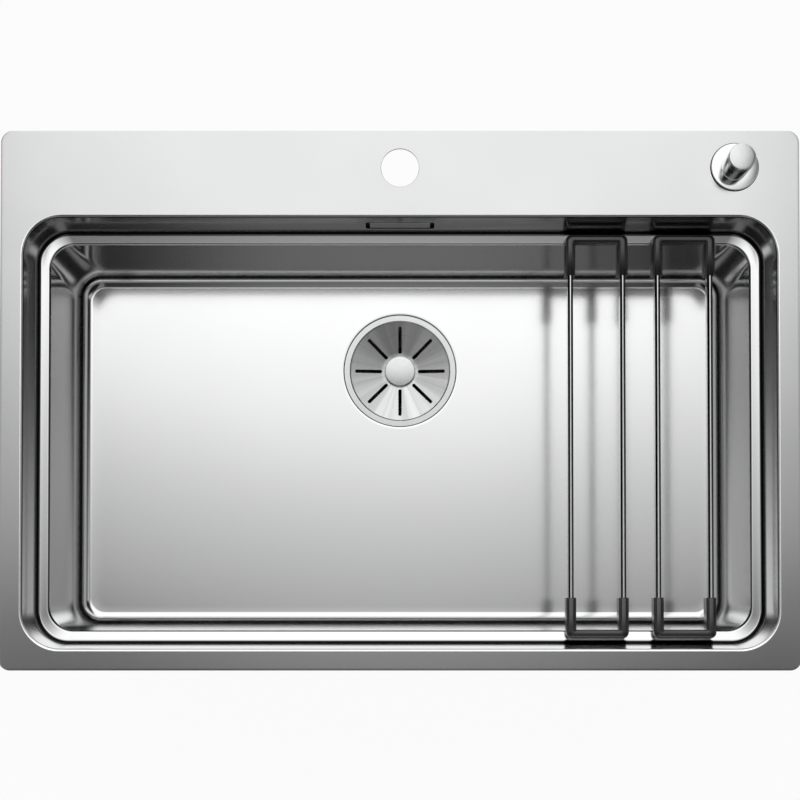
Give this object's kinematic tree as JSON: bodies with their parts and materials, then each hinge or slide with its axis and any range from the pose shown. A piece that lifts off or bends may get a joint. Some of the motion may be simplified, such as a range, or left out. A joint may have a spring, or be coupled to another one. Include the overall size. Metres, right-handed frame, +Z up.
{
  "type": "workstation kitchen sink",
  "caption": "Drop-in steel kitchen sink with a stepped bowl, tap ledge, covered overflow, sliding rails on the ledge and a knob-operated lifting strainer waste.",
  "frame": {"origin": "middle of the deck's outline, level with the worktop surface that the deck seal rests on", "axes": "+X right along the worktop, +Y to the back (tap ledge side), +Z up"},
  "size_m": [0.74, 0.5, 0.362],
  "materials": {
    "steel": "satin polished stainless steel",
    "rail_steel": "polished stainless steel",
    "chrome": "polished, satin on the knob's top",
    "zinc": "zinc-plated",
    "brass": "turned",
    "rubber": "matte",
    "black_plastic": "fine matte",
    "grey_plastic": "moulded"
  },
  "bodies": {
    "sink": {"sink_body": "steel", "deck_seal": "rubber", "sound_pad_left": "rubber", "sound_pad_right": "rubber", "clamp_rail_front": "zinc", "clamp_rail_left": "zinc", "clamp_rail_right": "zinc", "clamp_rail_back_left": "zinc", "clamp_rail_back_right": "zinc", "clamp_hook_front_left": "zinc", "clamp_screw_front_left": "zinc", "clamp_hook_front_right": "zinc", "clamp_screw_front_right": "zinc", "clamp_hook_left": "zinc", "clamp_screw_left": "zinc", "clamp_hook_right": "zinc", "clamp_screw_right": "zinc", "clamp_hook_back_left": "zinc", "clamp_screw_back_left": "zinc", "clamp_hook_back_right": "zinc", "clamp_screw_back_right": "zinc", "overflow_cover": "steel", "overflow_gasket": "rubber", "overflow_housing": "grey_plastic", "overflow_pipe": "grey_plastic", "overflow_nut_upper": "grey_plastic", "overflow_nut_lower": "grey_plastic", "drain_cup": "steel", "drain_gasket": "rubber", "drain_locknut": "grey_plastic", "waste_housing": "grey_plastic", "waste_coupling_nut": "grey_plastic", "cable_bracket": "black_plastic", "control_rosette": "chrome", "control_sleeve": "brass", "control_gasket": "rubber", "control_washer": "zinc", "control_locknut": "brass", "cable_housing": "black_plastic"},
    "control": {"control_knob": "chrome", "control_spindle": "brass", "cable_drum": "black_plastic"},
    "lever": {"lever_finger": "zinc", "lever_shaft": "zinc", "lever_crank": "zinc"},
    "lifter": {"lifter_pin": "brass"},
    "strainer": {"strainer_dish": "steel", "strainer_knob": "steel", "strainer_stem": "brass", "strainer_seal": "rubber"},
    "rail_left": {"rail_left_bar_inner": "rail_steel", "rail_left_bar_outer": "rail_steel", "rail_left_shoe_back": "black_plastic", "rail_left_shoe_front": "black_plastic"},
    "rail_right": {"rail_right_bar_inner": "rail_steel", "rail_right_bar_outer": "rail_steel", "rail_right_shoe_back": "black_plastic", "rail_right_shoe_front": "black_plastic"}
  },
  "joints": [
    {"name": "control_knob_turn", "type": "hinge", "parent": "sink", "child": "control", "pos_m": [0.31, 0.216, 0.003], "axis": [0, 0, 1], "range_deg": [0, 90]},
    {"name": "lever_swing", "type": "hinge", "parent": "sink", "child": "lever", "pos_m": [0, 0.037, -0.267], "axis": [1, 0, 0], "range_deg": [0, 33.2]},
    {"name": "lifter_rise", "type": "slide", "parent": "sink", "child": "lifter", "axis": [0, 0, 1], "range_m": [0, 0.008]},
    {"name": "strainer_lift_out", "type": "slide", "parent": "lifter", "child": "strainer", "axis": [0, 0, 1], "range_m": [0, 0.12]},
    {"name": "rail_left_slide", "type": "slide", "parent": "sink", "child": "rail_left", "axis": [1, 0, 0], "range_m": [-0.465, 0]},
    {"name": "rail_right_slide", "type": "slide", "parent": "sink", "child": "rail_right", "axis": [1, 0, 0], "range_m": [-0.022, 0.013]}
  ],
  "couplings": [
    {"joint": "lever_swing", "follows": "control_knob_turn", "ratio": 0.3688},
    {"joint": "lifter_rise", "follows": "control_knob_turn", "m_per_rad": 0.005092}
  ]
}
